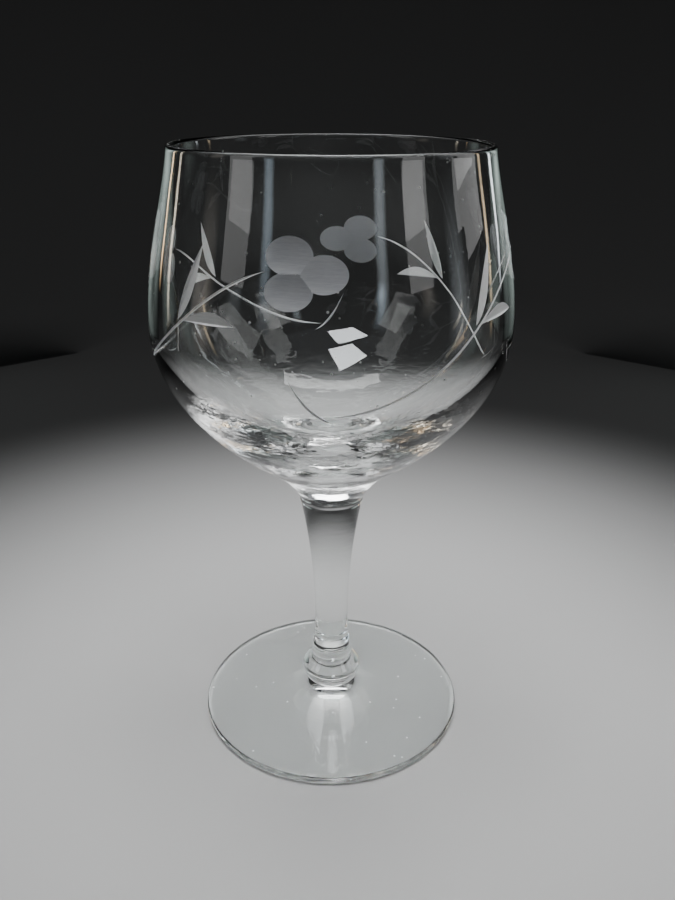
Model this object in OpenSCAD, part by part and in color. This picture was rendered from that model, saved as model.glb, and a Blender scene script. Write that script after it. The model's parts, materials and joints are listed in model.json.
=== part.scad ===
// Stemmed wine goblet in clear glass, blown in parts and welded hot: a foot, a collar,
// a drawn stem and a thick-based bowl. The bowl is cut by hand on stone wheels with a
// cluster of three berries, a long curved stalk, a pair of leaves and a closing stroke,
// and that pattern goes four times round the belly.
// The origin is the centre of the plane that the foot stands on, with +Z up.

/* [Heights] */
// Height of the foot at the face the collar is welded to
foot_h = 8.5; // [6:0.5:12]
// Height of the collar
collar_h = 11; // [8:0.5:16]
// Length of the stem
stem_h = 48; // [30:1:90]
// Height of the bowl, from its weld to the rim
bowl_h = 92.5; // [78:0.5:125]

/* [Bowl] */
// Outer diameter at the rim
rim_d = 77.2; // [64:0.2:86]
// Largest outer diameter
bowl_d = 91.2; // [80:0.2:112]
// Height of the widest ring above the weld
belly_h = 50.5; // [42:0.5:60]
// Diameter of the neck where it swells out of the weld
neck_d = 33.7; // [28:0.5:42]
// Height of the neck above the weld
neck_h = 10.3; // [8:0.1:13]
// Glass thickness at the rim
rim_wall = 1.6; // [1:0.1:2.4]
// Glass thickness at the widest ring
belly_wall = 3.2; // [1.8:0.1:4]
// Solid glass between the weld and the floor of the hollow
base_t = 17.8; // [14:0.1:24]

/* [Stem] */
// Diameter at the bowl
stem_top_d = 17.3; // [12:0.1:22]
// Diameter at the narrowest place
stem_waist_d = 9.5; // [7:0.1:12]
// Height of the narrowest place above the collar
stem_waist_h = 7.5; // [4:0.5:15]
// Diameter at the collar
stem_end_d = 10.6; // [9:0.1:13]

/* [Collar] */
// Largest diameter
collar_d = 16.9; // [14:0.1:22]
// Height of the widest ring above the foot
collar_ring_h = 3.3; // [2:0.1:5]
// Diameter at the foot
collar_seat_d = 14.6; // [12:0.1:18]

/* [Foot] */
// Outer diameter
foot_d = 75.3; // [60:0.5:95]
// Thickness at the edge
foot_edge_t = 2; // [1.4:0.1:3]
// Width of the flat ring that it stands on
rest_w = 6; // [3:0.5:10]
// Rise of the underside at the centre
foot_hollow = 1.6; // [0.5:0.1:3]

/* [Cut pattern] */
// Number of times that the pattern goes round the bowl
repeats = 4; // [1:1:4]
// Turn of the first cluster from the front
first_turn = -8.3; // [-45:0.1:45]
// Height of the cluster above the widest ring
cluster_h = 19.7; // [15:0.1:25]
// Width of a berry
berry_w = 10; // [7:0.1:12]
// Height of a berry
berry_h = 7.7; // [6:0.1:9]
// Depth of a berry at its middle
berry_cut = 0.5; // [0.35:0.05:0.9]
// Width of the stalk and the closing stroke
stalk_w = 0.7; // [0.5:0.05:1.2]
// Depth of the stalk and the closing stroke
stalk_cut = 0.25; // [0.15:0.05:0.5]
// Width of a leaf
leaf_w = 2.8; // [2:0.1:4]
// Depth of a leaf along its sharp edge
leaf_cut = 0.5; // [0.3:0.05:0.8]

/* [Hidden] */

glass = [0.84, 0.91, 0.91, 0.4];
base_glass = [0.74, 0.84, 0.84, 0.45];

// Welds and levels, each measured up from the foot's plane
collar_z = foot_h;
stem_z = collar_z + collar_h;
bowl_z = stem_z + stem_h;
rim_z = bowl_z + bowl_h;
belly_z = bowl_z + belly_h;
floor_z = bowl_z + base_t;
cluster_z = belly_z + cluster_h;

// Smoothness
around = 180;
curve_steps = 16;
cut_steps = 14;
cut_air = 0.3;     // how far a cutter stands out of the glass
end_lift = 0.04;   // share of its depth by which a stroke leaves the glass at its ends

// A point on a cubic curve, and a run of points that leaves out the last one
function on_curve(c, t) =
    pow(1 - t, 3) * c[0] + 3 * pow(1 - t, 2) * t * c[1] + 3 * (1 - t) * t * t * c[2] + pow(t, 3) * c[3];
function run(c, n = curve_steps) = [for (i = [0:n - 1]) on_curve(c, i / n)];
function arc(centre, r, from, to, n = 8) =
    [for (i = [0:n]) centre + r * [cos(from + (to - from) * i / n), sin(from + (to - from) * i / n)]];

// Outside of the bowl from the rim down to the weld: a nearly straight upper wall, the
// full belly, a long slope to the neck and a small hollow curve into the stem
rim_r = rim_d / 2;
belly_r = bowl_d / 2;
neck_slope = 34;
neck = [neck_d / 2, bowl_z + neck_h];
along_neck = [cos(neck_slope), sin(neck_slope)];
rim_round = rim_wall / 2;
rim_top = rim_z - rim_round;
weld = [stem_top_d / 2, bowl_z];
upper_h = rim_z - belly_z;
slope_h = belly_z - neck[1];
bowl_outside = concat(
    run([[rim_r, rim_top], [rim_r + 0.04 * upper_h, rim_top - 0.27 * upper_h],
         [belly_r, belly_z + 0.35 * upper_h], [belly_r, belly_z]]),
    run([[belly_r, belly_z], [belly_r, belly_z - 0.37 * slope_h],
         neck + 0.53 * slope_h * along_neck, neck]),
    run([neck, neck - 0.3 * neck_h * along_neck, weld + [0.03, 0.28] * neck_h, weld], 8),
    [weld]
);

// Inside of the hollow from its floor up to the rim
belly_in_r = belly_r - belly_wall;
hollow_h = belly_z - floor_z;
bowl_inside = concat(
    run([[0, floor_z], [0.55 * belly_in_r, floor_z], [belly_in_r, belly_z - 0.46 * hollow_h],
         [belly_in_r, belly_z]], 2 * curve_steps),
    run([[belly_in_r, belly_z], [belly_in_r, belly_z + 0.35 * upper_h],
         [rim_r - rim_wall + 0.04 * upper_h, rim_top - 0.27 * upper_h], [rim_r - rim_wall, rim_top]])
);

// Outer radius and lean of the bowl at a height, and the way out of the glass and the place
// on it at [turn, height]
outer_r = [for (p = bowl_outside) [p[1], p[0]]];
function bowl_r(z) = lookup(z, outer_r);
function bowl_lean(z) = atan((bowl_r(z - 1) - bowl_r(z + 1)) / 2);
function outward(p) = let (e = bowl_lean(p[1])) [cos(e) * sin(p[0]), -cos(e) * cos(p[0]), sin(e)];
function on_bowl(p) = [bowl_r(p[1]) * sin(p[0]), -bowl_r(p[1]) * cos(p[0]), p[1]];

// The pattern's lines, as turns in degrees and heights from the middle of the cluster
stalk_line = [[-9.7, 0.3], [-33.7, -4.7], [-53.7, -29.2], [-85.7, -29.4]];
tall_leaf_line = [[-39.5, -12.2], [-38, -7], [-34.5, -0.5], [-30.6, 4.6]];
flat_leaf_line = [[-39, -12.4], [-33, -11.6], [-25, -11.6], [-18.4, -11.4]];
closing_line = [[-94.8, -20.6], [-91.4, -26.8], [-87, -30], [-82.4, -31]];

// Each motif is cut by eye, so it lands at its own [turn, height] off the even spacing, and
// its strokes climb or fall by its own height for each degree
hand_slip = [[0, 0, 0], [1.5, -0.8, 0], [0, -9.5, -0.09], [8, -5.2, 0]];

// Wheels that grind a berry of the asked size into the round of the bowl
berry_wheel_r = 1 / (2 * berry_cut / pow(berry_w / 2, 2) - 1 / belly_r);
berry_edge_r = pow(berry_h / 2, 2) / (2 * berry_cut);
berry_step = [0.715 * berry_w, 0.45 * berry_h];

module revolved(outline) {
    rotate_extrude($fn = around) polygon(outline);
}

// A grinding wheel laid flat against the bowl, with its rounded edge sunk in by berry_cut
module berry_cutter(turn, z) {
    lean = bowl_lean(z);
    reach = bowl_r(z);
    rotate([0, 0, turn - 90]) translate([reach, 0, z]) rotate([0, -lean, 0])
        translate([berry_wheel_r - berry_cut, 0, 0]) rotate_extrude($fn = around)
            intersection() {
                translate([berry_wheel_r - berry_edge_r, 0]) rotate(180) circle(berry_edge_r, $fn = around);
                translate([berry_wheel_r - 4, -berry_h]) square([8, 2 * berry_h]);
            }
}

// A V-edged wheel run along a line on the bowl. sharp and broad are the widths on the two
// sides of the deepest line, and ease is the share of the stroke in which the wheel sinks in.
module stroke(line, z, climb, deep, sharp, broad, ease = 0.5, n = cut_steps) {
    places = [for (i = [0:n]) let (p = on_curve(line, i / n)) p + [0, z + climb * p[0]]];
    spots = [for (p = places) on_bowl(p)];
    rings = [for (i = [0:n]) let (
            ahead = spots[min(i + 1, n)] - spots[max(i - 1, 0)],
            out = outward(places[i]),
            side = cross(ahead, out) / norm(ahead),
            sunk = sin(90 * min(1, i / n / ease, (1 - i / n) / ease)),
            down = deep * ((1 + end_lift) * sunk - end_lift),
            bottom = spots[i] - down * out
        ) [
            bottom + (down + cut_air) * (out - side * sharp / deep),
            bottom + (down + cut_air) * (out + side * broad / deep),
            bottom
        ]];
    walls = [for (i = [0:n - 1], j = [0:2]) let (a = 3 * i + j, b = 3 * i + (j + 1) % 3)
        each [[a, b + 3, b], [a, a + 3, b + 3]]];
    polyhedron([for (r = rings) each r], concat(walls, [[0, 1, 2], [3 * n + 2, 3 * n + 1, 3 * n]]));
}

// One motif, with the middle of its cluster at height z
module pattern(z, climb) {
    third = berry_step[0] / 3 / bowl_r(z) * 180 / PI;
    for (s = [-1, 1]) berry_cutter(-third, z + s * berry_step[1]);
    berry_cutter(2 * third, z);
    stroke(stalk_line, z, climb, stalk_cut, stalk_w / 2, stalk_w / 2, 0.15, 28);
    stroke(closing_line, z, climb, stalk_cut, stalk_w / 2, stalk_w / 2);
    stroke(tall_leaf_line, z, climb, leaf_cut, 0.12 * leaf_w, 0.88 * leaf_w);
    stroke(flat_leaf_line, z, climb, leaf_cut, 0.88 * leaf_w, 0.12 * leaf_w);
}

// The foot: a thin disc that rises to the collar, slightly hollow beneath
module foot() {
    edge_r = foot_d / 2;
    round_r = foot_edge_t / 2;
    seat_r = collar_seat_d / 2;
    rise = foot_h - foot_edge_t;
    span = edge_r - round_r - seat_r;
    rest_r = edge_r - round_r - rest_w;
    color(glass) revolved(concat(
        [[0, foot_h]],
        run([[seat_r, foot_h], [seat_r + 0.12 * span, foot_h - 0.4 * rise],
             [seat_r + 0.4 * span, foot_edge_t + 0.2 * rise], [edge_r - round_r, foot_edge_t]]),
        arc([edge_r - round_r, round_r], round_r, 90, -90),
        run([[rest_r, 0], [0.75 * rest_r, 0], [0.4 * rest_r, foot_hollow], [0, foot_hollow]]),
        [[0, foot_hollow]]
    ));
}

// The collar: a button of glass that joins the stem to the foot
module collar() {
    seat_r = collar_seat_d / 2;
    ring_r = collar_d / 2;
    end_r = stem_end_d / 2;
    ring_z = collar_z + collar_ring_h;
    flare_h = stem_z - ring_z;
    color(base_glass) revolved(concat(
        [[0, stem_z]],
        run([[end_r, stem_z], [end_r, stem_z - 0.53 * flare_h], [ring_r, ring_z + 0.26 * flare_h],
             [ring_r, ring_z]]),
        run([[ring_r, ring_z], [ring_r, ring_z - 0.5 * collar_ring_h],
             [seat_r + 0.3, collar_z + 0.2 * collar_ring_h], [seat_r, collar_z]], 8),
        [[seat_r, collar_z], [0, collar_z]]
    ));
}

// The stem: drawn out thin towards the foot, then swelling a little into the collar
module stem() {
    top_r = stem_top_d / 2;
    waist_r = stem_waist_d / 2;
    end_r = stem_end_d / 2;
    waist_z = stem_z + stem_waist_h;
    draw_h = bowl_z - waist_z;
    color(glass) revolved(concat(
        [[0, bowl_z]],
        run([[top_r, bowl_z], [top_r - 0.06 * draw_h, bowl_z - 0.3 * draw_h],
             [waist_r, waist_z + 0.4 * draw_h], [waist_r, waist_z]]),
        run([[waist_r, waist_z], [waist_r, waist_z - 0.5 * stem_waist_h],
             [end_r, stem_z + 0.4 * stem_waist_h], [end_r, stem_z]], 8),
        [[end_r, stem_z], [0, stem_z]]
    ));
}

// The bowl: a solid base, a hollow that opens upwards, a fire-polished rim and the cut pattern
module bowl() {
    color(glass) difference() {
        revolved(concat(
            bowl_inside,
            arc([rim_r - rim_round, rim_top], rim_round, 180, 0),
            [for (i = [1:len(bowl_outside) - 1]) bowl_outside[i]],
            [[0, bowl_z]]
        ));
        for (i = [0:repeats - 1])
            rotate([0, 0, first_turn + i * 360 / repeats + hand_slip[i][0]])
                pattern(cluster_z + hand_slip[i][1], hand_slip[i][2]);
    }
}

foot();
collar();
stem();
bowl();
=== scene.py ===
# %% [markdown]
# # A cut wine goblet
# This lesson builds a stemmed goblet the way a glass shop does: a bowl, a stem, a collar
# and a foot are turned as separate gathers, welded hot into one glass, and then a pattern
# of berries, stalks and leaves is ground into the bowl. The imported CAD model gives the
# frame: the origin is the centre of the plane that the foot stands on, and +Z points up.

# %% Load the frame
import json
import math

import bmesh
import bpy
import numpy as np
from mathutils import Matrix, Vector, geometry

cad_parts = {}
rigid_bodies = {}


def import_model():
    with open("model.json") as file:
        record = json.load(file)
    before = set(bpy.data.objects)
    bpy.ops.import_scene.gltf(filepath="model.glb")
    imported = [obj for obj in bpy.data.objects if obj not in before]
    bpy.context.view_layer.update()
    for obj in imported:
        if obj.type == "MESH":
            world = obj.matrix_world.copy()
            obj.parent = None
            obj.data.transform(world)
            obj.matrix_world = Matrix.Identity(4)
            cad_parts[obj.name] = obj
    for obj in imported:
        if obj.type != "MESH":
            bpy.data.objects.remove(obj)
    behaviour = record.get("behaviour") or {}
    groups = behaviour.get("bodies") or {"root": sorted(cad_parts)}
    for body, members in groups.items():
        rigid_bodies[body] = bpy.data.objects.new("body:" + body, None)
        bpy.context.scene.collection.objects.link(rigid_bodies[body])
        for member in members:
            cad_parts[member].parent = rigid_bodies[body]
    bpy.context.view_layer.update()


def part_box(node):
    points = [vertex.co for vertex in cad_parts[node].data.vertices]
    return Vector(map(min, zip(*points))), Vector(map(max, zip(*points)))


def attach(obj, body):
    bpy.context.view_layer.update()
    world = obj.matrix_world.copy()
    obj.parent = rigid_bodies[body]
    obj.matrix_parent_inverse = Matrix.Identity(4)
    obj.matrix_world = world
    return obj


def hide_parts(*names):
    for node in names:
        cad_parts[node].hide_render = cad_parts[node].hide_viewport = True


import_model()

# %% [markdown]
# ## The camera
# The glass is seen from just above its rim and from close by, so the near side of the
# bowl looms and the foot is a wide oval. A camera is easiest to place by its own three
# directions: where it looks, and which way its right and its top point. The distances are
# counted from the axis of the glass, and the long side of the picture is the sensor's.

# %% Place the camera
mm = 0.001
camera_back = 213.2 * mm
camera_up = 173.0 * mm
look_down = math.radians(23.24)
look_aside = math.radians(0.44)
tilt = math.radians(-0.2)

camera = bpy.data.objects.new("camera", bpy.data.cameras.new("camera"))
camera.data.sensor_width = 36
camera.data.lens = 34.29
camera.data.clip_start = 0.01
camera.data.clip_end = 20

ahead_flat = Vector((math.sin(look_aside), math.cos(look_aside), 0))
sky = Vector((0, 0, 1))
right = ahead_flat.cross(sky)
ahead = math.cos(look_down) * ahead_flat - math.sin(look_down) * sky
top = math.sin(look_down) * ahead_flat + math.cos(look_down) * sky
right_tilted = math.cos(tilt) * right - math.sin(tilt) * top
top_tilted = math.sin(tilt) * right + math.cos(tilt) * top
turn = Matrix((right_tilted, top_tilted, -ahead)).transposed().to_4x4()
camera.matrix_world = Matrix.Translation((0, -camera_back, camera_up)) @ turn
bpy.context.scene.collection.objects.link(camera)
bpy.context.scene.camera = camera
print("camera at", tuple(round(v, 4) for v in camera.location))

# %% [markdown]
# ## Outlines
# Every gather of a goblet is turned, so each one is an outline spun round the axis. The
# outlines are cubic curves through a few heights and radii. The heights of the welds and
# the largest radii come from the CAD nodes, so the pieces meet where the CAD pieces meet.

# %% Read the sizes that the CAD model fixes
def size_of(node):
    low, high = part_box(node)
    return low[2], high[2], high[0]


_, collar_z, foot_r = size_of("foot")
_, stem_z, collar_r = size_of("collar")
_, bowl_z, stem_top_r = size_of("stem")
_, rim_z, belly_r = size_of("bowl")
print(f"welds at {collar_z:.4f}, {stem_z:.4f} and {bowl_z:.4f}, rim at {rim_z:.4f}")

# %% Name the other sizes
rim_r = 38.6 * mm
rim_wall = 1.6 * mm
belly_wall = 3.2 * mm
belly_z = bowl_z + 50.5 * mm
neck = np.array((16.85 * mm, bowl_z + 10.3 * mm))
neck_slope = math.radians(34)
base_thick = 17.8 * mm
floor_z = bowl_z + base_thick
floor_round = 0.55
side_round = 0.46
stem_waist_r = 4.75 * mm
stem_waist_z = stem_z + 7.5 * mm
stem_end_r = 5.3 * mm
collar_ring_z = collar_z + 3.3 * mm
collar_seat_r = 7.3 * mm
foot_edge = 2.0 * mm
foot_rest = 6.0 * mm
foot_hollow = 1.6 * mm


# %% Draw a cubic curve and a round edge
def curve(a, b, c, d, steps=24):
    """Points from a up to, and without, d."""
    t = np.linspace(0, 1, steps, endpoint=False)[:, None]
    a, b, c, d = (np.array(p, float) for p in (a, b, c, d))
    return (1 - t) ** 3 * a + 3 * (1 - t) ** 2 * t * b + 3 * (1 - t) * t**2 * c + t**3 * d


def round_edge(centre, radius, start, end, steps=10):
    angles = np.radians(np.linspace(start, end, steps + 1))
    return np.array(centre) + radius * np.stack((np.cos(angles), np.sin(angles)), 1)


# %% Outline the bowl
upper = rim_z - belly_z
slope = belly_z - neck[1]
neck_h = neck[1] - bowl_z
along_neck = np.array((math.cos(neck_slope), math.sin(neck_slope)))
rim_round = rim_wall / 2
rim_top = rim_z - rim_round
weld_r = stem_top_r

outside = np.concatenate((
    curve((rim_r, rim_top), (rim_r + 0.04 * upper, rim_top - 0.27 * upper),
          (belly_r, belly_z + 0.35 * upper), (belly_r, belly_z), 48),
    curve((belly_r, belly_z), (belly_r, belly_z - 0.37 * slope),
          neck + 0.53 * slope * along_neck, neck, 48),
    curve(neck, neck - 0.3 * neck_h * along_neck, (weld_r + 0.03 * neck_h, bowl_z + 0.28 * neck_h),
          (weld_r, bowl_z), 20),
    [(weld_r, bowl_z)],
))
belly_in = belly_r - belly_wall
hollow = belly_z - floor_z
inside = np.concatenate((
    curve((0, floor_z), (floor_round * belly_in, floor_z), (belly_in, belly_z - side_round * hollow),
          (belly_in, belly_z), 64),
    curve((belly_in, belly_z), (belly_in, belly_z + 0.35 * upper),
          (rim_r - rim_wall + 0.04 * upper, rim_top - 0.27 * upper), (rim_r - rim_wall, rim_top), 40),
))
print(f"outside has {len(outside)} points, inside {len(inside)}")


def bowl_r(z):
    """Outer radius of the bowl at a height."""
    return np.interp(z, outside[::-1, 1], outside[::-1, 0])


def bowl_lean(z):
    """Angle by which the outside of the bowl faces up at a height."""
    step = 0.5 * mm
    return np.arctan((bowl_r(z - step) - bowl_r(z + step)) / (2 * step))


# %% [markdown]
# ## Spinning an outline
# The outline is a chain of points. A Geometry Nodes tree lays a flat grid whose rows are
# those points and whose columns are steps round the axis, and puts each grid point at its
# row's radius and height and its column's turn. The seam and the poles are then merged,
# which closes the surface. The grid keeps every face four-sided, so clear glass bends
# light evenly.

# %% Helpers for building node trees
def new_tree(name, **inputs):
    """A Geometry Nodes tree with a geometry input and output and the named inputs."""
    tree = bpy.data.node_groups.new(name, "GeometryNodeTree")
    tree.interface.new_socket("Geometry", in_out="INPUT", socket_type="NodeSocketGeometry")
    for label, (kind, default) in inputs.items():
        made = tree.interface.new_socket(label, in_out="INPUT", socket_type="NodeSocket" + kind)
        if default is not None:
            made.default_value = default
    tree.interface.new_socket("Geometry", in_out="OUTPUT", socket_type="NodeSocketGeometry")
    return tree, tree.nodes.new("NodeGroupInput"), tree.nodes.new("NodeGroupOutput")


def add(tree, kind, links=None, **settings):
    """A node with its settings made, and its inputs linked or set, by place or by name."""
    node = tree.nodes.new(kind)
    for key, value in settings.items():
        setattr(node, key, value)
    for key, value in (links or {}).items():
        if isinstance(value, bpy.types.NodeSocket):
            tree.links.new(value, node.inputs[key])
        else:
            node.inputs[key].default_value = value
    return node


def run_tree(obj, tree, **values):
    """The plain mesh that a tree makes of an object, with its inputs set by their names."""
    modifier = obj.modifiers.new(tree.name, "NODES")
    modifier.node_group = tree
    for item in tree.interface.items_tree:
        if item.in_out == "INPUT" and item.name in values:
            modifier[item.identifier] = values[item.name]
    seen = obj.evaluated_get(bpy.context.evaluated_depsgraph_get())
    mesh = bpy.data.meshes.new_from_object(seen)
    obj.modifiers.remove(modifier)
    return mesh


# %% The tree that spins an outline
def make_spin_tree():
    tree, source, result = new_tree(
        "spin_outline", Steps=("Int", 256), First=("Float", 0.0), Merge=("Float", 1e-6),
        Glass=("Material", None))
    out = source.outputs
    count = add(tree, "GeometryNodeAttributeDomainSize", {"Geometry": out["Geometry"]}, component="MESH")
    columns = add(tree, "ShaderNodeMath", {0: out["Steps"], 1: 1}, operation="ADD")
    grid = add(tree, "GeometryNodeMeshGrid", {
        "Vertices X": columns.outputs[0], "Vertices Y": count.outputs["Point Count"]})
    index = add(tree, "GeometryNodeInputIndex")
    row = add(tree, "ShaderNodeMath", {
        0: index.outputs[0], 1: count.outputs["Point Count"]}, operation="MODULO")
    share = add(tree, "ShaderNodeMath", {
        0: index.outputs[0], 1: count.outputs["Point Count"]}, operation="DIVIDE")
    column = add(tree, "ShaderNodeMath", {0: share.outputs[0]}, operation="FLOOR")
    turned = add(tree, "ShaderNodeMath", {0: column.outputs[0], 1: out["Steps"]}, operation="DIVIDE")
    angle = add(tree, "ShaderNodeMath", {
        0: turned.outputs[0], 1: 2 * math.pi, 2: out["First"]}, operation="MULTIPLY_ADD")
    place = add(tree, "GeometryNodeInputPosition")
    spot = add(tree, "GeometryNodeSampleIndex", {
        "Geometry": out["Geometry"], "Index": row.outputs[0]}, data_type="FLOAT_VECTOR", domain="POINT")
    tree.links.new(place.outputs[0], spot.inputs["Value"])
    spun = add(tree, "ShaderNodeVectorRotate", {
        "Vector": spot.outputs["Value"], "Angle": angle.outputs[0]}, rotation_type="Z_AXIS")
    moved = add(tree, "GeometryNodeSetPosition", {
        "Geometry": grid.outputs["Mesh"], "Position": spun.outputs[0]})
    merged = add(tree, "GeometryNodeMergeByDistance", {
        "Geometry": moved.outputs[0], "Distance": out["Merge"]})
    smooth = add(tree, "GeometryNodeSetShadeSmooth", {"Geometry": merged.outputs[0]})
    real = add(tree, "GeometryNodeRealizeInstances", {"Geometry": smooth.outputs[0]})
    coated = add(tree, "GeometryNodeSetMaterial", {
        "Geometry": real.outputs[0], "Material": out["Glass"]})
    tree.links.new(coated.outputs[0], result.inputs[0])
    return tree


spin_tree = make_spin_tree()
print("tree", spin_tree.name, "has", len(spin_tree.nodes), "nodes")

# %% [markdown]
# ## Clear glass
# Goblet glass is a clear, hard glass that bends light a little more than window glass. Its
# surface was set by fire, so it isn't quite true: long faint waves move what is seen
# through it. Where hot glass met the cold tool, at the bottom of the hollow, the surface
# froze in short uneven ripples. Both are noises in the bump, and the ripples fade with
# height. A few dust specks catch the light, as on any glass that has stood on a shelf.

# %% Make the clear glass
def new_material(name):
    material = bpy.data.materials.new(name)
    material.use_nodes = True
    tree = material.node_tree
    tree.nodes.clear()
    result = tree.nodes.new("ShaderNodeOutputMaterial")
    return material, tree, result


def make_clear_glass(name, tint, ripple_size, ripple_depth, ripple_low, ripple_high):
    """Glass with long waves, ripples that fade between two heights, and dust specks."""
    wave_size, wave_depth = 24 * mm, 0.2 * mm
    speck_apart, speck_r, speck_rough = 6 * mm, 0.038, 0.7
    ripple_flat = 2.5
    material, tree, result = new_material(name)
    place = add(tree, "ShaderNodeTexCoord")
    waves = add(tree, "ShaderNodeTexNoise", {
        "Vector": place.outputs["Object"], "Scale": 1 / wave_size, "Detail": 1.0, "Roughness": 0.4})
    bent = add(tree, "ShaderNodeBump", {
        "Height": waves.outputs["Fac"], "Distance": wave_depth, "Strength": 1.0})
    flattened = add(tree, "ShaderNodeMapping", {
        "Vector": place.outputs["Object"], "Scale": (1, 1, ripple_flat)})
    ripples = add(tree, "ShaderNodeTexNoise", {
        "Vector": flattened.outputs[0], "Scale": 1 / ripple_size, "Detail": 1.0,
        "Roughness": 0.4, "Distortion": 0.5})
    height = add(tree, "ShaderNodeSeparateXYZ", {0: place.outputs["Object"]})
    share = add(tree, "ShaderNodeMapRange", {
        "Value": height.outputs["Z"], "From Min": ripple_low, "From Max": ripple_high,
        "To Min": 1.0, "To Max": 0.0}, interpolation_type="SMOOTHSTEP")
    rippled = add(tree, "ShaderNodeBump", {
        "Height": ripples.outputs["Fac"], "Distance": ripple_depth,
        "Strength": share.outputs["Result"], "Normal": bent.outputs["Normal"]})
    specks = add(tree, "ShaderNodeTexVoronoi", {
        "Vector": place.outputs["Object"], "Scale": 1 / speck_apart})
    speck = add(tree, "ShaderNodeMapRange", {
        "Value": specks.outputs["Distance"], "From Min": speck_r, "From Max": speck_r * 1.6,
        "To Min": speck_rough, "To Max": 0.0})
    glass = add(tree, "ShaderNodeBsdfPrincipled", {
        "Base Color": (*tint, 1), "IOR": 1.52, "Transmission Weight": 1.0,
        "Roughness": speck.outputs["Result"], "Normal": rippled.outputs["Normal"]})
    tree.links.new(glass.outputs[0], result.inputs["Surface"])
    return material


clear_tint, foot_tint = (0.985, 0.996, 0.992), (0.98, 0.995, 0.99)
bowl_glass = make_clear_glass("blown_glass", clear_tint, 5 * mm, 0.16 * mm, 0.084, 0.108)
stem_glass = make_clear_glass("drawn_glass", clear_tint, 5 * mm, 0.06 * mm, 0.0, 0.09)
foot_glass = make_clear_glass("spun_glass", foot_tint, 9 * mm, 0.05 * mm, 0.004, 0.03)
print("made", bowl_glass.name, stem_glass.name, foot_glass.name)

# %% [markdown]
# ## Ground glass
# A stone wheel leaves the cuts grey and matt: each grain drags a fine scratch along the
# wheel's path. The scratches run along the cut, so the noise is stretched along one axis
# of the cut's own map, which counts millimetres along and across the scratches. Ground
# glass still lets light in, but it scatters part of it back, which is why the berries
# look pale on a dark ground. The strokes are ground with a finer wheel and look whiter.

# %% Make the ground glass
def make_ground_glass(name, pale, dark, passes, rough, across, scratch_depth):
    """Scratched glass; across is how many scratches lie side by side in a millimetre."""
    material, tree, result = new_material(name)
    lay = add(tree, "ShaderNodeUVMap", uv_map="grind")
    scratches = []
    for along, wide in ((0.12, across), (0.5, across * 3.1)):
        stretched = add(tree, "ShaderNodeMapping", {
            "Vector": lay.outputs[0], "Scale": (along, wide, 1.0)})
        scratches.append(add(tree, "ShaderNodeTexNoise", {
            "Vector": stretched.outputs[0], "Scale": 1.0, "Detail": 3.0, "Roughness": 0.6}))
    both = add(tree, "ShaderNodeMath", {
        0: scratches[0].outputs["Fac"], 1: scratches[1].outputs["Fac"]}, operation="ADD")
    streak = add(tree, "ShaderNodeMapRange", {
        "Value": both.outputs[0], "From Min": 0.75, "From Max": 1.25})
    colour = add(tree, "ShaderNodeMix", {
        "Factor": streak.outputs["Result"], "A": (*dark, 1), "B": (*pale, 1)}, data_type="RGBA")
    bump = add(tree, "ShaderNodeBump", {
        "Height": both.outputs[0], "Distance": scratch_depth, "Strength": 1.0})
    roughness = add(tree, "ShaderNodeMapRange", {
        "Value": streak.outputs["Result"], "To Min": rough - 0.08, "To Max": rough + 0.1})
    glass = add(tree, "ShaderNodeBsdfPrincipled", {
        "Base Color": colour.outputs["Result"], "IOR": 1.52, "Transmission Weight": passes,
        "Roughness": roughness.outputs["Result"], "Normal": bump.outputs["Normal"]})
    tree.links.new(glass.outputs[0], result.inputs["Surface"])
    return material


ground_berry = make_ground_glass(
    "ground_berry", (0.93, 0.94, 0.98), (0.76, 0.77, 0.82), 0.68, 0.5, 2.2, 0.02 * mm)
ground_stroke = make_ground_glass(
    "ground_stroke", (1.0, 1.0, 1.0), (0.84, 0.86, 0.86), 0.28, 0.4, 2.6, 0.02 * mm)
print("made", ground_berry.name, ground_stroke.name)

# %% [markdown]
# ## Welds
# Two gathers that were joined hot have no surface between them. Each piece here still has
# its closing face, so that it is a whole solid of its own, but light has to cross that
# face as if it weren't there. A transparent finish does that.

# %% Make the weld finish
def make_weld():
    material, tree, result = new_material("hot_weld")
    clear = add(tree, "ShaderNodeBsdfTransparent")
    tree.links.new(clear.outputs[0], result.inputs["Surface"])
    return material


hot_weld = make_weld()

# %% [markdown]
# ## Turning the plain pieces
# The stem, the collar and the foot are outlines that start and end on the axis, so each
# spins into a closed solid. The faces that meet another gather get the weld finish.

# %% Spin an outline into a piece
spin_steps = 256


def line_object(name, outline):
    """An object whose mesh is a chain of points in the XZ plane."""
    mesh = bpy.data.meshes.new(name)
    points = [(r, 0, z) for r, z in outline]
    mesh.from_pydata(points, [(i, i + 1) for i in range(len(points) - 1)], [])
    obj = bpy.data.objects.new(name, mesh)
    bpy.context.scene.collection.objects.link(obj)
    return obj


def spin(name, outline, glass, first=0.0):
    """The mesh of an outline spun round the axis."""
    obj = line_object(name + "_outline", outline)
    mesh = run_tree(obj, spin_tree, Steps=spin_steps, First=first, Glass=glass)
    bpy.data.objects.remove(obj)
    return mesh


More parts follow.
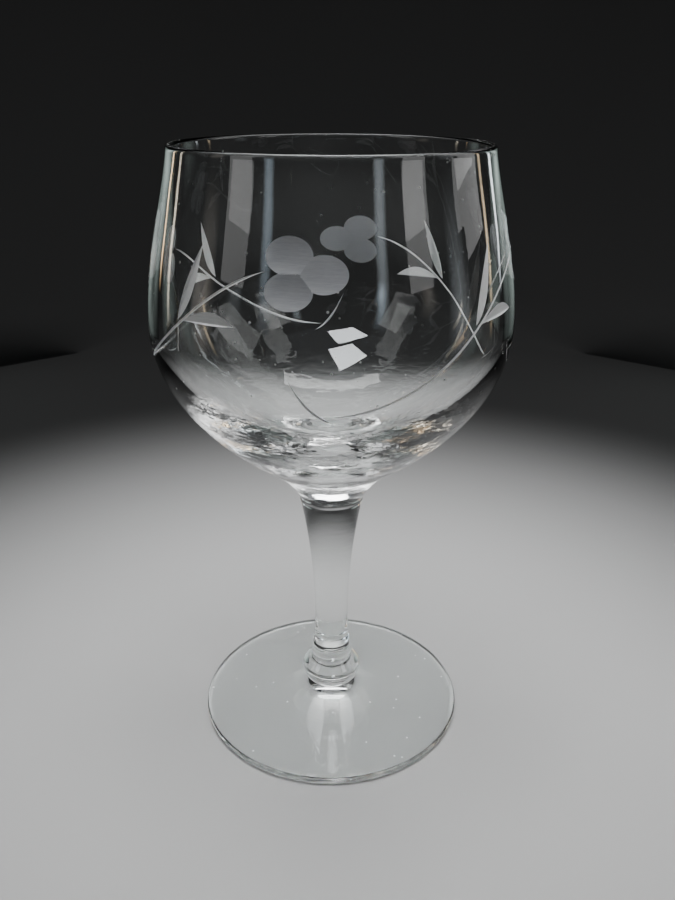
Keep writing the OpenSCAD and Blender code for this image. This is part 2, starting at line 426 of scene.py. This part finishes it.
def finish_mesh(mesh):
    """Merges what coincides, points the faces outwards and marks the sharp edges."""
    work = bmesh.new()
    work.from_mesh(mesh)
    bmesh.ops.remove_doubles(work, verts=work.verts, dist=1e-6)
    bmesh.ops.dissolve_degenerate(work, dist=1e-8, edges=work.edges)
    bmesh.ops.recalc_face_normals(work, faces=work.faces)
    open_edges = sum(len(e.link_faces) != 2 for e in work.edges)
    volume = work.calc_volume(signed=True)
    if volume < 0:
        bmesh.ops.reverse_faces(work, faces=work.faces)
    for face in work.faces:
        face.smooth = True
    work.to_mesh(mesh)
    work.free()
    mesh.set_sharp_from_angle(angle=math.radians(40))
    print(f"{mesh.name}: {len(mesh.polygons)} faces, {open_edges} open edges,",
          f"{abs(volume) / mm**3:.0f} mm3")


def weld_faces(mesh, *heights):
    """Gives the weld finish to the flat faces that lie at these heights."""
    mesh.materials.append(hot_weld)
    slot = len(mesh.materials) - 1
    for face in mesh.polygons:
        if any(abs(face.center.z - z) < 0.01 * mm for z in heights) and abs(face.normal.z) > 0.99:
            face.material_index = slot


def add_piece(name, mesh, node):
    mesh.name = name
    piece = bpy.data.objects.new(name, mesh)
    bpy.context.scene.collection.objects.link(piece)
    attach(piece, "root")
    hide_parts(node)
    return piece


# %% [markdown]
# A hot weld never closes quite flush. It leaves a low round ridge with a shallow groove
# beside it, which shows as a thin bright ring. The ridge is a ripple in the outline.

# %% Leave a ring at each weld
ring_high = 0.12 * mm
ring_half = 0.55 * mm
ring_step = 0.15 * mm


def ring_at(z):
    """How far the surface stands out at a height near the welds of the stem."""
    out = 0
    for weld in (stem_z, bowl_z):
        far = (np.asarray(z) - weld) / ring_half
        out = out + ring_high * (np.exp(-far**2) - 0.7 * np.exp(-((far - 2.2) ** 2)))
    return out


def with_welds(outline):
    """The outline with fine steps near the welds and the rings added."""
    points = [outline[0]]
    for a, b in zip(outline[:-1], outline[1:]):
        close = min(abs(a[1] - stem_z), abs(a[1] - bowl_z), abs(b[1] - bowl_z)) < 4 * ring_half
        parts = max(1, int(abs(a[1] - b[1]) / ring_step)) if close else 1
        points += [a + (b - a) * k / parts for k in range(1, parts + 1)]
    points = np.array(points)
    points[:, 0] += np.where(points[:, 0] > 1 * mm, ring_at(points[:, 1]), 0)
    return points


# %% Turn the foot
def foot_outline():
    edge = foot_edge / 2
    rise = collar_z - foot_edge
    span = foot_r - edge - collar_seat_r
    rest = foot_r - edge - foot_rest
    return np.concatenate((
        [(0, collar_z)],
        curve((collar_seat_r, collar_z), (collar_seat_r + 0.12 * span, collar_z - 0.4 * rise),
              (collar_seat_r + 0.4 * span, foot_edge + 0.2 * rise), (foot_r - edge, foot_edge), 48),
        round_edge((foot_r - edge, edge), edge, 90, -90, 12),
        curve((rest, 0), (0.75 * rest, 0), (0.4 * rest, foot_hollow), (0, foot_hollow), 32),
        [(0, foot_hollow)],
    ))


foot_mesh = spin("foot", foot_outline(), foot_glass)
finish_mesh(foot_mesh)
weld_faces(foot_mesh, collar_z)
add_piece("spun_foot", foot_mesh, "foot")


# %% Turn the collar
def collar_outline():
    flare = stem_z - collar_ring_z
    drop = collar_ring_z - collar_z
    return np.concatenate((
        [(0, stem_z)],
        curve((stem_end_r, stem_z), (stem_end_r, stem_z - 0.53 * flare),
              (collar_r, collar_ring_z + 0.26 * flare), (collar_r, collar_ring_z), 32),
        curve((collar_r, collar_ring_z), (collar_r, collar_ring_z - 0.5 * drop),
              (collar_seat_r + 0.3 * mm, collar_z + 0.2 * drop), (collar_seat_r, collar_z), 16),
        [(collar_seat_r, collar_z), (0, collar_z)],
    ))


collar_mesh = spin("collar", with_welds(collar_outline()), stem_glass)
finish_mesh(collar_mesh)
weld_faces(collar_mesh, collar_z, stem_z)
add_piece("welded_collar", collar_mesh, "collar")


# %% Turn the stem
def stem_outline():
    draw = bowl_z - stem_waist_z
    swell = stem_waist_z - stem_z
    return np.concatenate((
        [(0, bowl_z)],
        curve((stem_top_r, bowl_z), (stem_top_r - 0.06 * draw, bowl_z - 0.3 * draw),
              (stem_waist_r, stem_waist_z + 0.4 * draw), (stem_waist_r, stem_waist_z), 48),
        curve((stem_waist_r, stem_waist_z), (stem_waist_r, stem_waist_z - 0.5 * swell),
              (stem_end_r, stem_z + 0.4 * swell), (stem_end_r, stem_z), 12),
        [(stem_end_r, stem_z), (0, stem_z)],
    ))


stem_mesh = spin("stem", with_welds(stem_outline()), stem_glass)
finish_mesh(stem_mesh)
weld_faces(stem_mesh, stem_z, bowl_z)
add_piece("drawn_stem", stem_mesh, "stem")

# %% [markdown]
# ## Drawing the cut pattern
# A glass cutter marks the pattern on the bowl with a pen, berry by berry and stroke by
# stroke. Here it is drawn on a flat band of the unrolled bowl: across is the turn round the
# axis and up is the height, both in millimetres. Each cut knows how deep it is at any point
# of the band, and the deepest one wins, just as the last wheel would leave it. The lines of
# the pattern become edges of the mesh, so every cut has a true edge.

# %% Lay out the band
repeats = 4
first_turn = -8.3
hand_slip = ((0, 0, 0), (1.5, -0.8, 0), (0, -9.5, -0.09), (8, -5.2, 0))
cluster_z = belly_z + 19.7 * mm
band_low = cluster_z - 38 * mm
band_high = cluster_z + 8 * mm
per_degree = bowl_r(cluster_z) / mm * math.pi / 180


def flat(points):
    """[turn in degrees, height in mm] from the cluster's middle, in the band's millimetres."""
    return np.array(points, float) * (per_degree, 1)


class Berry:
    """An oval dish left by the rounded edge of a wheel."""

    finish = 1

    def __init__(self, x, y, width, height, deep):
        self.at, self.half, self.deep = np.array((x, y)), np.array((width, height)) / 2, deep

    def depth(self, p):
        return self.deep * (1 - (((p - self.at) / self.half) ** 2).sum(-1))

    def fall(self, p, _):
        """How fast the depth grows along each axis of the band."""
        return -2 * self.deep * (p - self.at) / self.half**2

    def lay(self, p):
        """Place in the cut's own map: along the scratches, and across them."""
        return p - self.at

    def lines(self):
        ring = np.radians(np.arange(0, 360, 5))
        return [(self.at + self.half * np.stack((np.cos(ring), np.sin(ring)), 1), True)]

    def fill(self):
        for share in (0.25, 0.5, 0.72, 0.88):
            ring = np.linspace(0, 2 * math.pi, round(56 * share), endpoint=False) + share
            yield from self.at + share * self.half * np.stack((np.cos(ring), np.sin(ring)), 1)
        yield self.at


class Stroke:
    """A groove left by a wheel with a V edge, run along a curved line."""

    finish = 2

    def __init__(self, line, deep, left, right, ease=0.5, skew=1.0, steps=36):
        line = flat(line)
        t = np.linspace(0, 1, steps + 1)
        self.line = np.concatenate((curve(*line, steps), line[3:]))
        run = np.gradient(self.line, axis=0)
        run /= np.linalg.norm(run, axis=1)[:, None]
        self.side = np.stack((run[:, 1], -run[:, 0]), 1)
        t = t**skew
        self.sunk = np.sin(np.pi / 2 * np.minimum(1, np.minimum(t, 1 - t) / ease)).clip(0, 1)
        self.deep, self.left, self.right = deep, left, right
        self.length = np.concatenate(([0], np.cumsum(np.linalg.norm(np.diff(self.line, axis=0), axis=1))))

    def near(self, p):
        """Nearest place on the line: its step count, its sideways distance, and the side's direction."""
        a, b = self.line[:-1], self.line[1:]
        along = ((p[..., None, :] - a) * (b - a)).sum(-1) / ((b - a) ** 2).sum(-1)
        along = along.clip(0, 1)
        gap = p[..., None, :] - (a + along[..., None] * (b - a))
        best = (gap**2).sum(-1).argmin(-1)
        share = np.take_along_axis(along, best[..., None], -1)[..., 0]
        at = best + share
        side = np.stack([np.interp(at, np.arange(len(self.line)), self.side[:, k]) for k in (0, 1)], -1)
        centre = np.stack([np.interp(at, np.arange(len(self.line)), self.line[:, k]) for k in (0, 1)], -1)
        return at, ((p - centre) * side).sum(-1), side, ((p - centre) ** 2).sum(-1)

    def depth(self, p):
        at, aside, _, far = self.near(p)
        sunk = np.interp(at, np.arange(len(self.sunk)), self.sunk)
        wide = np.where(aside > 0, self.right, self.left)
        beyond = np.sqrt(np.maximum(far - aside**2, 0))
        return self.deep * sunk - (np.abs(aside) + beyond) / wide * self.deep

    def fall(self, p, middle):
        """The slope of the wall on which the face's middle lies."""
        aside = self.near(middle)[1]
        side = self.near(p)[2]
        slope = np.where(aside > 0, -self.deep / self.right, self.deep / self.left)
        return slope[..., None] * side

    def lay(self, p):
        at, aside, _, _ = self.near(p)
        return np.stack((np.interp(at, np.arange(len(self.length)), self.length), aside), -1)

    def lines(self):
        sunk = self.sunk[:, None]
        yield self.line, False
        yield self.line + self.right * sunk * self.side, False
        yield self.line - self.left * sunk * self.side, False

    def fill(self):
        middle = self.line[2:-2:2]
        aside = self.sunk[2:-2:2, None] * self.side[2:-2:2]
        for share in (0.33, 0.66):
            if self.right > 1:
                yield from middle + share * self.right * aside
            if self.left > 1:
                yield from middle - share * self.left * aside


# %% Draw one motif
berry_w, berry_h, berry_deep = 10.0, 7.7, 0.5
stalk_half, stalk_deep = 0.3, 0.25
leaf_w, leaf_deep = 2.8, 0.5
step_x, step_y = 0.715 * berry_w, 0.45 * berry_h

motif = [
    Berry(-step_x / 3, step_y, berry_w, berry_h, berry_deep),
    Berry(-step_x / 3, -step_y, berry_w, berry_h, berry_deep),
    Berry(2 * step_x / 3, 0, berry_w, berry_h, berry_deep),
    Stroke([(-9.7, 0.3), (-33.7, -4.7), (-53.7, -29.2), (-85.7, -29.4)],
           stalk_deep, stalk_half, stalk_half, ease=0.15, steps=110),
    Stroke([(-94.8, -20.6), (-91.4, -26.8), (-87, -30), (-82.4, -31)],
           stalk_deep, stalk_half, stalk_half, steps=30),
    Stroke([(-39.5, -12.2), (-38, -7), (-34.5, -0.5), (-30.6, 4.6)],
           leaf_deep, 0.12 * leaf_w, 0.88 * leaf_w, skew=0.8),
    Stroke([(-39, -12.4), (-33, -11.6), (-25, -11.6), (-18.4, -11.4)],
           leaf_deep, 0.88 * leaf_w, 0.12 * leaf_w, skew=1.4),
]
print("cuts in one motif:", len(motif))


# %% [markdown]
# ## From the drawing to a band of glass
# The cutter divides the bowl into quarters and cuts the motif once in each, by eye, so each
# one lands a little off: turned, lower, or with its strokes climbing. The unrolled band
# takes all four, and each motif may reach across the band's ends. The drawing's lines and a
# plain grid of points are joined into triangles that keep every line as an edge. A face's
# finish is that of the cut that is deepest at its middle.

# %% Set each motif in its place
whole_turn = 360 * per_degree
left_edge = -60 * per_degree
columns = spin_steps
rows = 48
band_y = np.linspace(band_low - cluster_z, band_high - cluster_z, rows + 1) / mm


class Placed:
    """A cut set at its motif's place: turned and dropped, and climbing if it is a stroke."""

    def __init__(self, cut, turn, drop, climb):
        self.cut, self.finish = cut, cut.finish
        self.move = np.array((turn * per_degree, drop))
        self.climb = climb / per_degree if isinstance(cut, Stroke) else 0
        lines = np.concatenate([line for line, _ in self.lines()])
        self.low, self.high = lines.min(0) - 0.5, lines.max(0) + 0.5

    def home(self, p):
        """A point of the band, as the motif's own drawing has it."""
        q = p - self.move
        return np.stack((q[..., 0], q[..., 1] - self.climb * q[..., 0]), -1)

    def set_down(self, q):
        return np.stack((q[..., 0], q[..., 1] + self.climb * q[..., 0]), -1) + self.move

    def depth(self, p):
        close = ((p > self.low) & (p < self.high)).all(-1)
        out = np.full(len(p), -1.0)
        out[close] = self.cut.depth(self.home(p[close]))
        return out

    def fall(self, p, middle):
        out = self.cut.fall(self.home(p), self.home(middle))
        return np.stack((out[..., 0] - self.climb * out[..., 1], out[..., 1]), -1)

    def lay(self, p):
        return self.cut.lay(self.home(p))

    def lines(self):
        return [(self.set_down(line), closed) for line, closed in self.cut.lines()]

    def fill(self):
        return [self.set_down(p) for p in self.cut.fill()]

    def reaches(self):
        return self.high[0] > left_edge and self.low[0] < left_edge + whole_turn


cuts = []
for place, (slip, drop, climb) in enumerate(hand_slip):
    for lap in (-1, 0, 1):
        turn = 360 * (place / repeats + lap) + slip
        cuts += [c for cut in motif if (c := Placed(cut, turn, drop, climb)).reaches()]
print("cuts on the whole band:", len(cuts))


# %% Draw the band and find each face's cut
def draw_panel():
    """Points and triangles of the band, with every line of the pattern as edges."""
    xs = left_edge + whole_turn * np.arange(columns + 1) / columns
    frame_line = np.concatenate((
        [(x, band_y[0]) for x in xs], [(xs[-1], y) for y in band_y[1:]],
        [(x, band_y[-1]) for x in xs[-2::-1]], [(xs[0], y) for y in band_y[-2:0:-1]]))
    points, edges = [], []

    def draw(line, closed):
        start, count = len(points), len(line)
        points.extend(tuple(p) for p in line)
        edges.extend((start + i, start + (i + 1) % count) for i in range(count if closed else count - 1))

    draw(frame_line, True)
    for cut in cuts:
        for line, closed in cut.lines():
            near = (line[:, 0] > left_edge - 3) & (line[:, 0] < left_edge + whole_turn + 3)
            for run in np.split(np.arange(len(line)), np.flatnonzero(~near)):
                run = run[near[run]]
                if len(run) > 1:
                    draw(line[run], closed and near.all())
    drawn = np.array(points)
    points += [tuple(p) for cut in cuts for p in cut.fill()]
    for x in xs[1:-1]:
        beside = drawn[np.abs(drawn[:, 0] - x) < 0.45]
        for y in band_y[1:-1]:
            if not len(beside) or ((beside - (x, y)) ** 2).sum(1).min() > 0.45**2:
                points.append((x, y))
    made = geometry.delaunay_2d_cdt([Vector(p) for p in points], edges, [], 0, 1e-4, False)
    spots, faces = np.array([tuple(v) for v in made[0]]), np.array(made[2])
    middles = spots[faces].mean(1)
    keep = (middles[:, 0] > left_edge) & (middles[:, 0] < left_edge + whole_turn)
    return spots, faces[keep]


panel_points, panel_faces = draw_panel()
middles = panel_points[panel_faces].mean(1)
depth_at_middles = np.stack([cut.depth(middles) for cut in cuts])
deepest = depth_at_middles.argmax(0)
is_cut = depth_at_middles.max(0) > 1e-4
panel_depth = np.stack([cut.depth(panel_points) for cut in cuts]).max(0).clip(0)
face_finish = np.where(is_cut, [cuts[k].finish for k in deepest], 0)
print(f"band: {len(panel_points)} points, {len(panel_faces)} triangles, {is_cut.sum()} of them ground")


# %% Wrap the band round the bowl
def wrap(p, depth):
    """The place on the bowl of a point of the band, sunk by the depth of the cut."""
    z = cluster_z + p[:, 1] * mm
    lean, r = bowl_lean(z), bowl_r(z)
    r, z = r - depth * mm * np.cos(lean), z - depth * mm * np.sin(lean)
    turned = np.radians(p[:, 0] / per_degree + first_turn - 90)
    return np.stack((r * np.cos(turned), r * np.sin(turned), z), 1)


def panel_object():
    mesh = bpy.data.meshes.new("cut_band")
    used, faces = np.unique(panel_faces, return_inverse=True)
    spots = wrap(panel_points[used], panel_depth[used])
    mesh.from_pydata(spots.tolist(), [], faces.reshape(-1, 3).tolist())
    falls, lays = np.zeros((len(panel_faces), 3, 3)), np.zeros((len(panel_faces), 3, 2))
    falls[..., 2] = 1
    for k, cut in enumerate(cuts):
        own = is_cut & (deepest == k)
        corners = panel_points[panel_faces[own]]
        centre = np.repeat(middles[own][:, None], 3, 1)
        falls[own, :, :2] = cut.fall(corners, centre)
        lays[own] = cut.lay(corners)
    mesh.attributes.new("fall", "FLOAT_VECTOR", "CORNER").data.foreach_set("vector", falls.ravel())
    mesh.uv_layers.new(name="grind").data.foreach_set("uv", lays.ravel())
    mesh.attributes.new("finish", "INT", "FACE").data.foreach_set("value", face_finish.astype(np.int32))
    obj = bpy.data.objects.new("cut_band", mesh)
    bpy.context.scene.collection.objects.link(obj)
    return obj


# %% [markdown]
# ## Closing the bowl
# The tree below joins the cut band and the plain rest of the bowl, merges the seams and
# gives each face the finish of its cut.

# %% The tree that joins the bowl
def make_join_tree():
    tree, source, result = new_tree(
        "join_bowl", Rest=("Object", None), Merge=("Float", 2e-6),
        Clear=("Material", None), Berry=("Material", None), Stroke=("Material", None))
    out = source.outputs
    rest = add(tree, "GeometryNodeObjectInfo", {"Object": out["Rest"]})
    joined = add(tree, "GeometryNodeJoinGeometry")
    tree.links.new(out["Geometry"], joined.inputs[0])
    tree.links.new(rest.outputs["Geometry"], joined.inputs[0])
    real = add(tree, "GeometryNodeRealizeInstances", {"Geometry": joined.outputs[0]})
    merged = add(tree, "GeometryNodeMergeByDistance", {
        "Geometry": real.outputs[0], "Distance": out["Merge"]})
    finish = add(tree, "GeometryNodeInputNamedAttribute", {"Name": "finish"}, data_type="INT")
    last = merged
    for value, label in enumerate(("Clear", "Berry", "Stroke")):
        same = add(tree, "FunctionNodeCompare", {
            2: finish.outputs[0], 3: value}, data_type="INT", operation="EQUAL")
        last = add(tree, "GeometryNodeSetMaterial", {
            "Geometry": last.outputs[0], "Selection": same.outputs[0], "Material": out[label]})
    tree.links.new(last.outputs[0], result.inputs[0])
    return tree


join_tree = make_join_tree()


# %% Turn the plain parts of the bowl and join them
def between(outline, low, high):
    """The stretch of a downward outline between two heights, with points exactly at both."""
    inner = outline[(outline[:, 1] < high - 1e-7) & (outline[:, 1] > low + 1e-7)]
    return np.concatenate(([(bowl_r(high), high)], inner, [(bowl_r(low), low)]))


first_column = math.radians(first_turn + left_edge / per_degree - 90)
rim_arc = round_edge((rim_r - rim_round, rim_top), rim_round, 180, 0, 14)
top_outline = np.concatenate((inside, rim_arc, between(outside, band_high, rim_top)[1:]))
low_outline = with_welds(np.concatenate((between(outside, bowl_z, band_low), [(0, bowl_z)])))
plain = line_object("plain_bowl", [])
plain_mesh = bmesh.new()
for outline in (top_outline, low_outline):
    plain_mesh.from_mesh(spin("part_of_bowl", outline, bowl_glass, first_column))
plain_mesh.to_mesh(plain.data)
plain_mesh.free()

cut_band = panel_object()
bowl_mesh = run_tree(cut_band, join_tree, Rest=plain, Clear=bowl_glass,
                     Berry=ground_berry, Stroke=ground_stroke)
for obj in (plain, cut_band):
    bpy.data.objects.remove(obj)
finish_mesh(bowl_mesh)


# %% [markdown]
# ## True normals on the cuts
# Clear glass shows the smallest error of its normals, because it bends everything behind
# it. The panel's triangles are only a drawing of the smooth bowl, so each corner gets the
# normal that the bowl's outline and the cut's own slope give it.

# %% Give the panel its true normals
def true_normals(mesh):
    corners, spots = len(mesh.loops), len(mesh.vertices)
    fall, co, at = np.zeros(corners * 3), np.zeros(spots * 3), np.zeros(corners, np.int32)
    mesh.attributes["fall"].data.foreach_get("vector", fall)
    mesh.vertices.foreach_get("co", co)
    mesh.loops.foreach_get("vertex_index", at)
    fall, co = fall.reshape(-1, 3), co.reshape(-1, 3)[at]
    lean, turned = bowl_lean(co[:, 2]), np.arctan2(co[:, 1], co[:, 0])
    around = fall[:, 0] * bowl_r(cluster_z) / bowl_r(co[:, 2])
    upward = fall[:, 1] * np.cos(lean)
    out = np.cos(lean) - upward * np.sin(lean)
    normals = np.stack((
        out * np.cos(turned) - around * np.sin(turned),
        out * np.sin(turned) + around * np.cos(turned),
        np.sin(lean) + upward * np.cos(lean)), 1)
    normals /= np.linalg.norm(normals, axis=1)[:, None]
    normals[fall[:, 2] < 0.5] = 0
    mesh.normals_split_custom_set(normals.tolist())
    mesh.attributes.remove(mesh.attributes["fall"])
    mesh.attributes.remove(mesh.attributes["finish"])


true_normals(bowl_mesh)
weld_faces(bowl_mesh, bowl_z)
add_piece("blown_bowl", bowl_mesh, "bowl")

# %% [markdown]
# ## The studio
# Glass has no colour of its own to show. It shows what surrounds it, so the studio is
# built round it on all sides: a floor that sweeps up into a plain dark wall, against which
# the cut pattern stands out. The paper's colour holds a painted pool of light: it is pale
# where the glass stands and darkens with distance, in place of light that falls off.

# %% Sweep the floor up into a wall
# Painted pool of light: the paper is pale near the glass and dark far off, painted in place of light
# falling off.
painted_pool_tone, far_tone = 0.5, 0.03
near_edge, far_edge = 0.07, 0.28


def make_paper_with_painted_pool():
    material, tree, result = new_material("studio_paper_painted_pool")
    place = add(tree, "ShaderNodeTexCoord")
    reach = add(tree, "ShaderNodeVectorMath", {0: place.outputs["Object"]}, operation="LENGTH")
    # Painted pool of light: the paper's colour fades from pale to dark with distance from the glass.
    painted_pool = add(tree, "ShaderNodeMapRange", {
        "Value": reach.outputs["Value"], "From Min": near_edge, "From Max": far_edge,
        "To Min": painted_pool_tone, "To Max": far_tone}, interpolation_type="SMOOTHSTEP")
    grey = add(tree, "ShaderNodeCombineColor", {
        0: painted_pool.outputs[0], 1: painted_pool.outputs[0], 2: painted_pool.outputs[0]})
    paper = add(tree, "ShaderNodeBsdfPrincipled", {"Base Color": grey.outputs[0], "Roughness": 0.9})
    tree.links.new(paper.outputs[0], result.inputs["Surface"])
    return material


sweep = np.concatenate(([(0, -0.0002), (0.2, -0.0002), (0.4, -0.0002)],
                        round_edge((0.55, 0.35), 0.35, -90, 0, 24) + (0, -0.0002), [(0.9, 1.4)]))
studio = bpy.data.objects.new("studio", spin("studio", sweep, make_paper_with_painted_pool()))
bpy.context.scene.collection.objects.link(studio)
print("studio is", round(2 * sweep[-1][0], 2), "m across")

# %% [markdown]
# ## The lights
# One large soft light hangs above. It lights the floor and the ground cuts, but it is kept
# out of reflections, because a clear bowl would mirror its hard outline. Three upright
# lights at the sides draw long soft bands down the bowl.

# %% Hang the lights
def soft_light(name, place, aim, width, height, power):
    data = bpy.data.lights.new(name, "AREA")
    data.shape = "RECTANGLE"
    data.size, data.size_y, data.energy = width, height, power
    light = bpy.data.objects.new(name, data)
    light.location = place
    light.rotation_euler = (Vector(aim) - Vector(place)).to_track_quat("-Z", "Y").to_euler()
    light.visible_camera = False
    bpy.context.scene.collection.objects.link(light)
    return light


glass_middle = (0, 0, 0.09)
overhead = soft_light("overhead", (0, 0.1, 0.95), glass_middle, 0.7, 0.7, 9)
overhead.visible_glossy = False


def round_the_glass(turned, distance, z):
    """A place beside the glass: 0 degrees is behind it and 90 to its right."""
    a = math.radians(turned)
    return (distance * math.sin(a), distance * math.cos(a), z)


for name, turned, width, power in (
        ("left_front", -120, 0.2, 0.5), ("right_front", 126, 0.2, 0.6), ("right_side", 84, 0.3, 0.8)):
    soft_light(name, round_the_glass(turned, 0.6, 0.42), glass_middle, width, 0.5, power)


# %% [markdown]
# ## Bright cards
# A photographer draws the edge of a glass with white cards that stand just outside the
# picture. The thick wall bends the view at the bowl's edge round to them. The cards here
# are seen only in and through the glass: two crisp window panes in front, broad cards
# beside and behind, and narrow warm and cool ones that the thick base breaks into glints.

# %% Stand bright cards where only the glass sees them
def bright_card(name, corners, colour, strength, fades=True):
    """A glowing four-cornered card that shows only in and through the glass."""
    mesh = bpy.data.meshes.new(name)
    mesh.from_pydata(corners, [], [range(len(corners))])
    mesh.uv_layers.new(name="card").data.foreach_set("uv", (0, 0, 1, 0, 1, 1, 0, 1))
    material, tree, result = new_material(name)
    glow = add(tree, "ShaderNodeEmission", {"Color": (*colour, 1), "Strength": strength})
    if fades:
        spot = add(tree, "ShaderNodeUVMap", uv_map="card")
        sides = add(tree, "ShaderNodeSeparateXYZ", {0: spot.outputs[0]})
        fade = strength
        for side in ("X", "Y"):
            half_turn = add(tree, "ShaderNodeMath", {
                0: sides.outputs[side], 1: math.pi}, operation="MULTIPLY")
            bow = add(tree, "ShaderNodeMath", {0: half_turn.outputs[0]}, operation="SINE")
            faded = add(tree, "ShaderNodeMath", {0: bow.outputs[0], 1: fade}, operation="MULTIPLY")
            fade = faded.outputs[0]
        tree.links.new(fade, glow.inputs["Strength"])
    tree.links.new(glow.outputs[0], result.inputs["Surface"])
    mesh.materials.append(material)
    card = bpy.data.objects.new(name, mesh)
    bpy.context.scene.collection.objects.link(card)
    card.visible_camera = False
    card.visible_diffuse = False
    return card


def upright_card(name, distance, turned, width, low_z, high_z, strength, colour):
    """A soft upright card that faces the glass, as many degrees wide as width says."""
    corners = [round_the_glass(turned + side * width / 2, distance, z)
               for side, z in ((-1, low_z), (1, low_z), (1, high_z), (-1, high_z))]
    return bright_card(name, corners, colour, strength)


window_back = 0.42
window_colour, window_strength = (0.93, 0.97, 1), 16
for name, pane in (("upper_pane", ((-0.015, 0.118), (0.03, 0.087), (0.15, 0.1), (0.082, 0.126))),
                   ("lower_pane", ((-0.011, 0.073), (0.036, 0.003), (0.15, 0.043), (0.082, 0.086)))):
    corners = [(x, -window_back, z) for x, z in pane]
    pane = bright_card(name, corners, window_colour, window_strength, fades=False)
    pane.visible_transmission = False

side_away, side_low, side_high = 0.4, 0.002, 0.2
for k, (turned, width, strength, colour) in enumerate((
        (37, 22, 0.6, (0.86, 1, 0.95)), (-37, 22, 0.6, (0.86, 1, 0.95)),
        (100, 14, 1.0, (0.9, 0.95, 1)), (-100, 14, 1.0, (1, 0.9, 0.8)))):
    upright_card(f"side_card_{k}", side_away, turned, width, side_low, side_high, strength, colour)

glint_away = 0.45
for k, glint in enumerate((
        (-48, 5, 0.02, 0.3, 5, (1, 0.72, 0.45)), (-62, 4, 0.0, 0.25, 5, (1, 0.9, 0.75)),
        (-140, 8, 0.05, 0.4, 4, (0.75, 0.88, 1)), (50, 5, 0.02, 0.3, 5, (0.9, 0.96, 1)),
        (66, 4, 0.0, 0.25, 5, (1, 0.8, 0.55)), (150, 8, 0.05, 0.4, 4, (0.85, 0.93, 1)))):
    upright_card(f"glint_card_{k}", glint_away, *glint).visible_glossy = False
print("cards:", sum("card" in o.name or "pane" in o.name for o in bpy.context.scene.objects))

# %% Fill the room with faint light
world = bpy.data.worlds.new("room")
world.use_nodes = True
world.node_tree.nodes["Background"].inputs["Color"].default_value = (0.8, 0.85, 0.9, 1)
world.node_tree.nodes["Background"].inputs["Strength"].default_value = 0.25
bpy.context.scene.world = world

# %% [markdown]
# ## How light is followed
# A ray crosses a goblet's walls many times before it leaves, so it needs many turns.

# %% Let light cross many walls
cycles = bpy.context.scene.cycles
cycles.max_bounces = 24
cycles.transmission_bounces = 24
cycles.glossy_bounces = 12
cycles.transparent_max_bounces = 24
cycles.blur_glossy = 0
bpy.context.scene.view_settings.view_transform = "AgX"
bpy.context.scene.view_settings.look = "AgX - Medium High Contrast"
